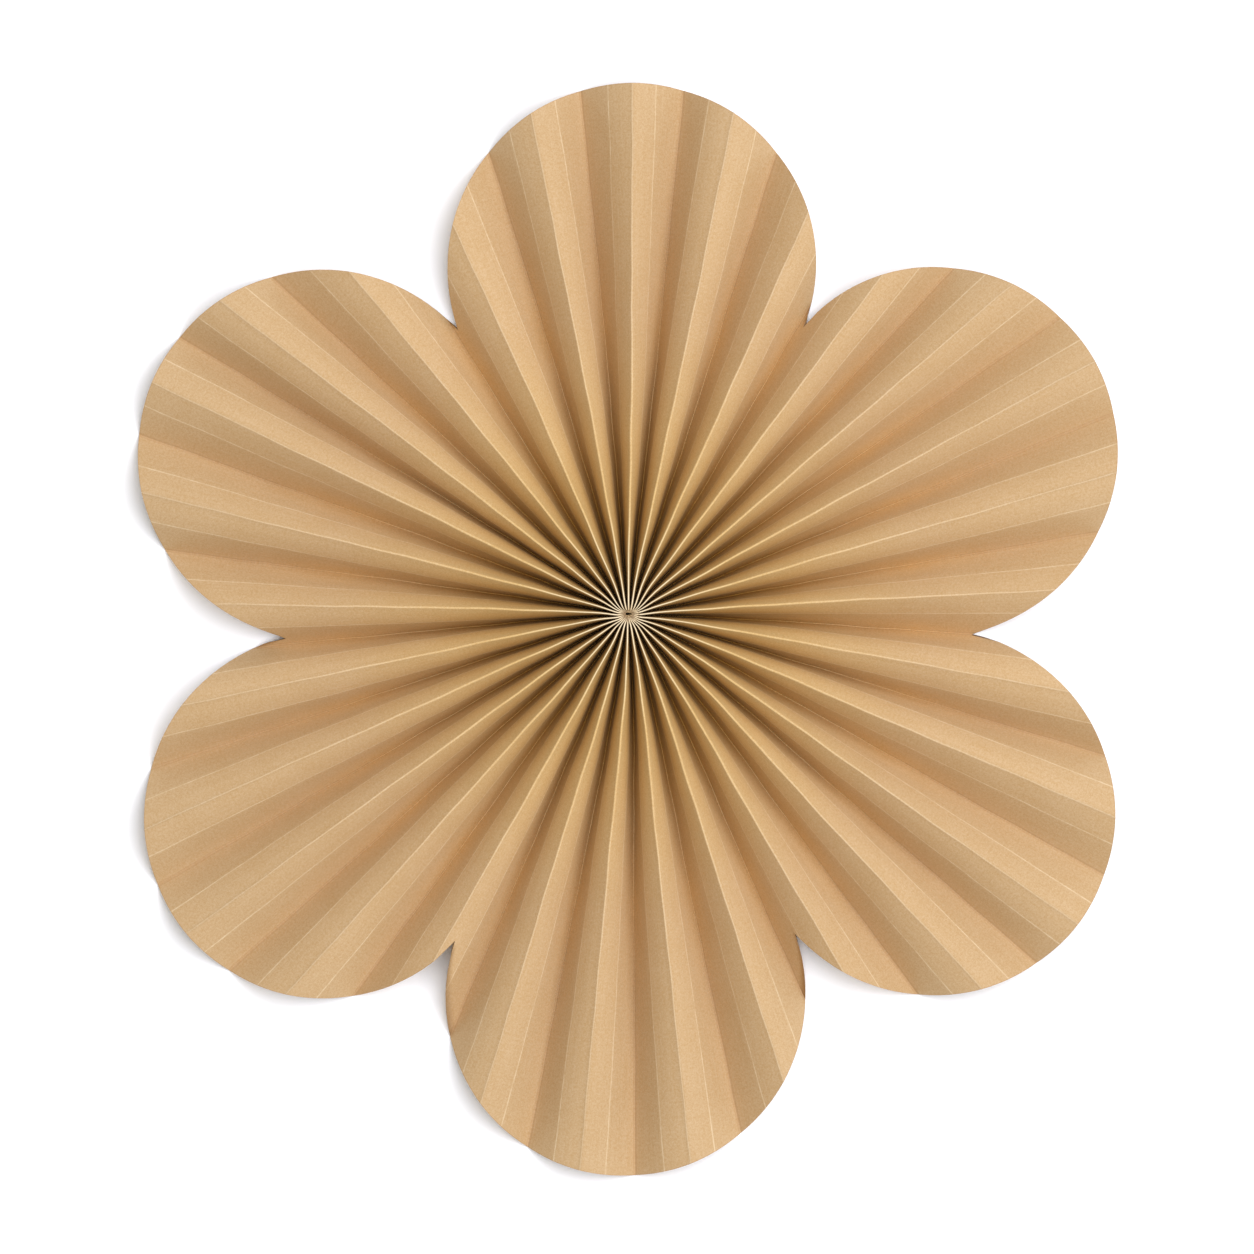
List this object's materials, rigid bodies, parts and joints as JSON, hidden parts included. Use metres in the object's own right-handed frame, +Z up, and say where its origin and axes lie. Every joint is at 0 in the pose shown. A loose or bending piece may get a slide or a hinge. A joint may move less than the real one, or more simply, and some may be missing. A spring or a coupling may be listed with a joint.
{
  "type": "paper fan rosette",
  "caption": "Wall or table decoration of pleated kraft paper: folds fan out from a pinched hub, and the outer edge is cut to a flower of round petals.",
  "frame": {"origin": "the hub where the folds meet, on the flat plane of the back", "axes": "+Z up, out of the front face; +Y from the hub to the tip of the top petal; +X to the right as the front is seen"},
  "size_m": [0.3589, 0.4002, 0.0254],
  "materials": {
    "kraft_paper": "uncoated kraft paper, matt, with a faint fibre grain",
    "cotton_thread": "twisted cotton thread, matt"
  },
  "bodies": {
    "root": {"pleated_sheet": "kraft_paper", "gather_thread": "cotton_thread"}
  },
  "joints": []
}
